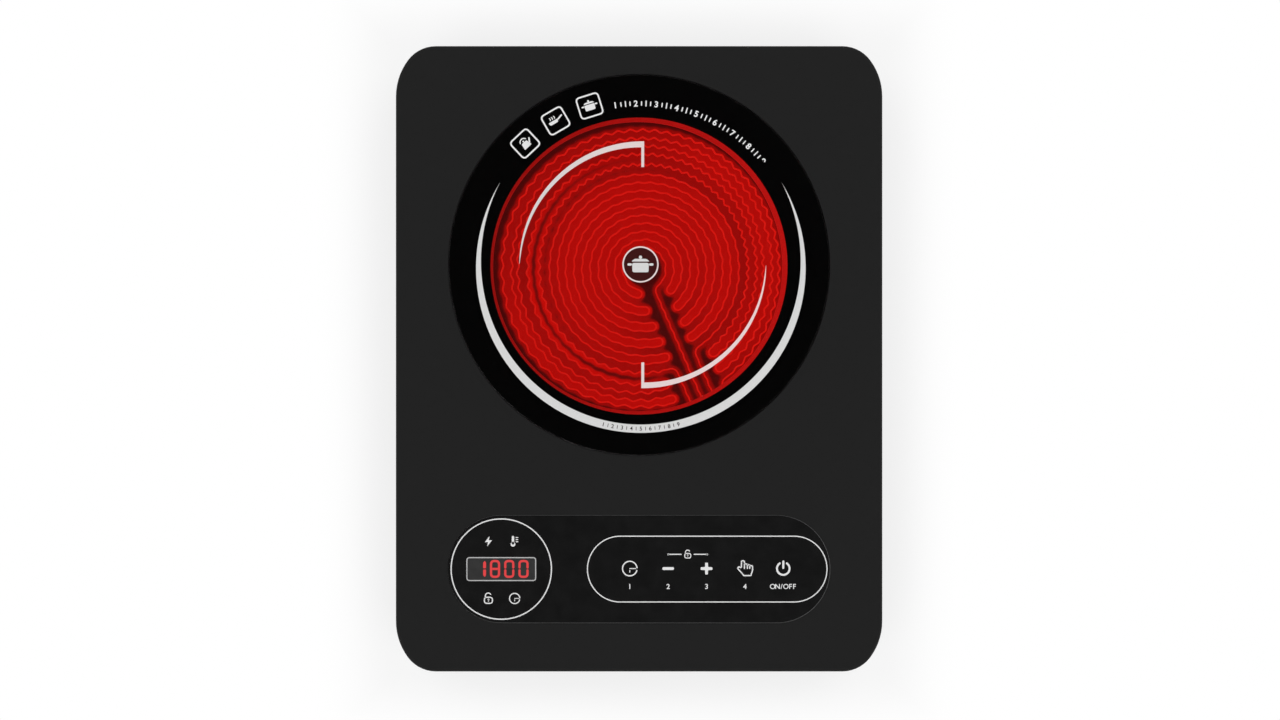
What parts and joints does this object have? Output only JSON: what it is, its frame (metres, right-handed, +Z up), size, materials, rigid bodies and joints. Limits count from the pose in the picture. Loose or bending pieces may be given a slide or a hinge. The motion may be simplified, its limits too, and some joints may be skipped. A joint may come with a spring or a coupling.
{
  "type": "hot plate burner",
  "caption": "Portable radiant hot plate: round glass-ceramic cooking zone in a shallow housing with a touch control panel in front.",
  "frame": {"origin": "centre of the housing's footprint, on the surface the feet stand on", "axes": "+Z up, +Y to the back of the appliance, away from the control panel, +X to the user's right"},
  "size_m": [0.28, 0.36, 0.0606],
  "materials": {
    "deck_plastic": "matt charcoal, fine moulded grain",
    "base_plastic": "matt black",
    "black_plastic": "satin black",
    "ceramic_glass": "polished glass-ceramic with black print round a clear window",
    "lens_glass": "gloss black",
    "silicone": "grey silicone",
    "adhesive": "black adhesive sheet",
    "circuit_board": "green solder mask",
    "display_black": "dark display window",
    "lamp_clear": "clear lamp bodies",
    "spring_steel": "plated spring wire",
    "steel": "zinc plated",
    "aluminium": "mill finish",
    "relay_blue": "satin blue",
    "capacitor_yellow": "satin yellow",
    "capacitor_sleeve": "dark blue sleeve",
    "transformer_core": "varnished laminations",
    "terminal_green": "green",
    "fuse_ceramic": "white ceramic with plated caps",
    "copper_winding": "enamelled copper",
    "magnet": "dark ferrite",
    "wire_red": "red insulation",
    "cable_grey": "grey ribbon cable",
    "sleeving": "woven glass sleeving",
    "dish_metal": "aluminised sheet",
    "insulation": "pressed microporous board",
    "heating_alloy": "glowing alloy strip",
    "ceramic": "unglazed ceramic",
    "foot_rubber": "black rubber"
  },
  "bodies": {
    "housing": {"top_housing": "deck_plastic", "base_pan": "base_plastic", "glass_plate": "ceramic_glass", "glass_seal": "silicone", "panel_lens": "lens_glass", "panel_tape": "adhesive", "control_board": "circuit_board", "display_module": "display_black", "indicator_lamps": "lamp_clear", "buzzer": "black_plastic", "control_board_screws": "steel", "flat_cable": "cable_grey", "power_board": "circuit_board", "relay_inner_zone": "relay_blue", "relay_outer_zone": "relay_blue", "transformer": "transformer_core", "film_capacitor": "capacitor_yellow", "smoothing_capacitors": "capacitor_sleeve", "triac_heatsink": "aluminium", "triac": "black_plastic", "fuse": "fuse_ceramic", "mains_terminal": "terminal_green", "power_board_screws": "steel", "fan_frame": "black_plastic", "fan_stator": "copper_winding", "fan_screws": "steel", "fan_lead": "wire_red", "heater_dish": "dish_metal", "insulation_base": "insulation", "insulation_ring": "insulation", "inner_zone_ribbon": "heating_alloy", "outer_zone_ribbon": "heating_alloy", "terminal_block": "ceramic", "terminal_tabs": "steel", "terminal_screws": "steel", "heater_leads": "sleeving", "heater_bracket": "steel", "left_heater_spring": "steel", "right_heater_spring": "steel", "bracket_screws": "steel", "thermal_cutout": "black_plastic", "glass_sensor": "ceramic", "foot_screws": "steel", "housing_screws": "steel", "cord_gland": "foot_rubber", "touch_spring_1": "spring_steel", "touch_spring_2": "spring_steel", "touch_spring_3": "spring_steel", "touch_spring_4": "spring_steel", "touch_spring_5": "spring_steel", "foot_front_left": "foot_rubber", "foot_front_right": "foot_rubber", "foot_rear_left": "foot_rubber", "foot_rear_right": "foot_rubber"},
    "fan_rotor": {"fan_rotor": "black_plastic", "fan_magnet": "magnet"}
  },
  "joints": [
    {"name": "fan_spin", "type": "hinge", "parent": "housing", "child": "fan_rotor", "pos_m": [-0.078, -0.095, 0.03], "axis": [0, 0, 1], "continuous": true}
  ]
}
